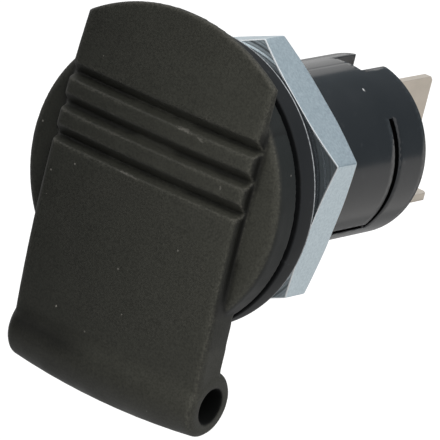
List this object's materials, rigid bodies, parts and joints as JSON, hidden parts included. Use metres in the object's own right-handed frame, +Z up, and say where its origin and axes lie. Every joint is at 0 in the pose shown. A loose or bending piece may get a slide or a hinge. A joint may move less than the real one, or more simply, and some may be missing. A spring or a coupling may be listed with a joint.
{
  "type": "trailer power socket",
  "caption": "Panel-mount low-voltage power socket with a sprung hinged lid, threaded barrel, hex nut and flat blade terminals.",
  "frame": {"origin": "on the socket axis, at the rear face of the flange, where the panel's front face sits", "axes": "+Y along the socket axis from the lid to the blade terminals, +Z up away from the lid's hinge, +X to the right as the lid is seen"},
  "size_m": [0.0294, 0.0492, 0.0402],
  "materials": {
    "housing_plastic": "smooth moulded black, satin gloss",
    "carrier_plastic": "moulded black",
    "contact_metal": "tin plated",
    "nut_zinc": "zinc plated, faces turned",
    "lid_plastic": "fine-grained matte black",
    "seal_rubber": "matte",
    "pin_steel": "plain steel",
    "spring_steel": "drawn wire"
  },
  "bodies": {
    "socket": {"socket_housing": "housing_plastic", "terminal_carrier": "carrier_plastic", "earth_contact": "contact_metal", "centre_contact": "contact_metal", "hinge_pin": "pin_steel", "lid_spring": "spring_steel"},
    "lid": {"lid": "lid_plastic", "lid_seal": "seal_rubber"},
    "nut": {"hex_nut": "nut_zinc"}
  },
  "joints": [
    {"name": "lid_hinge", "type": "hinge", "parent": "socket", "child": "lid", "pos_m": [0, -0.0041, -0.019], "axis": [1, 0, 0], "range_deg": [0, 105], "stiffness_Nm_per_rad": 0.006, "springref_deg": -45.84, "deforming": ["lid_spring"]},
    {"name": "nut_slide", "type": "slide", "parent": "socket", "child": "nut", "axis": [0, 1, 0], "range_m": [-0.0033, 0.0037]}
  ]
}
